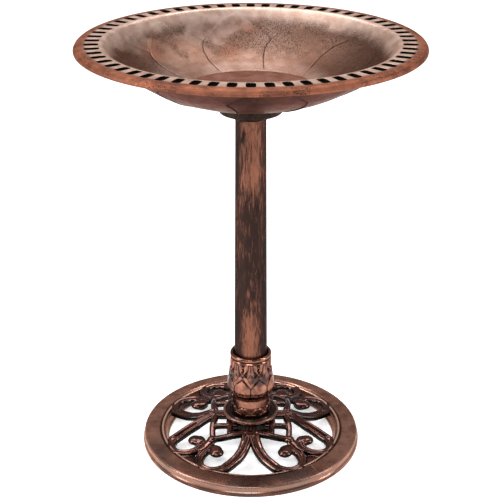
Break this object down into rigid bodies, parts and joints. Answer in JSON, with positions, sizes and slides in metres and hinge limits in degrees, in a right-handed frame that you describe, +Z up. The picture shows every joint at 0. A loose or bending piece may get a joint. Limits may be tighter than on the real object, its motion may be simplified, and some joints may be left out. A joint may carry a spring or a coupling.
{
  "type": "pedestal bird bath",
  "caption": "Round shallow basin with a slotted rim that lifts off a tapered pole, which stands in a leafed collar on a pierced round base.",
  "frame": {"origin": "centre of the foot ring's underside, on the ground", "axes": "+Z up along the pole; the front of the base, one of its four windows, faces -Y"},
  "size_m": [0.508, 0.508, 0.664],
  "materials": {
    "bowl_copper": "aged copper paint with dark speckled patches, satin",
    "socket_copper": "dark aged copper paint, satin",
    "pole_copper": "dark brown with copper brushed streaks, satin",
    "collar_copper": "polished copper paint, dark in the grooves, glossy",
    "base_copper": "copper brown paint with darker patches, satin",
    "fastener_steel": "zinc plated"
  },
  "bodies": {
    "base": {"base_ring": "base_copper", "hub_frame": "base_copper", "hub_drum": "base_copper", "drip_dish": "collar_copper", "leaf_collar": "collar_copper", "hub_bolt": "fastener_steel", "hub_washer": "fastener_steel", "hub_nut": "fastener_steel", "scroll_panel_front_left": "base_copper", "scroll_panel_front_right": "base_copper", "scroll_panel_back_left": "base_copper", "scroll_panel_back_right": "base_copper"},
    "pole": {"pole_tube": "pole_copper", "pole_cap": "pole_copper"},
    "bowl": {"bowl": "bowl_copper", "bowl_socket": "socket_copper", "socket_screws": "fastener_steel"}
  },
  "joints": [
    {"name": "pole_lift", "type": "slide", "parent": "base", "child": "pole", "axis": [0, 0, 1], "range_m": [0, 0.11]},
    {"name": "bowl_lift", "type": "slide", "parent": "pole", "child": "bowl", "axis": [0, 0, 1], "range_m": [0, 0.05]}
  ]
}
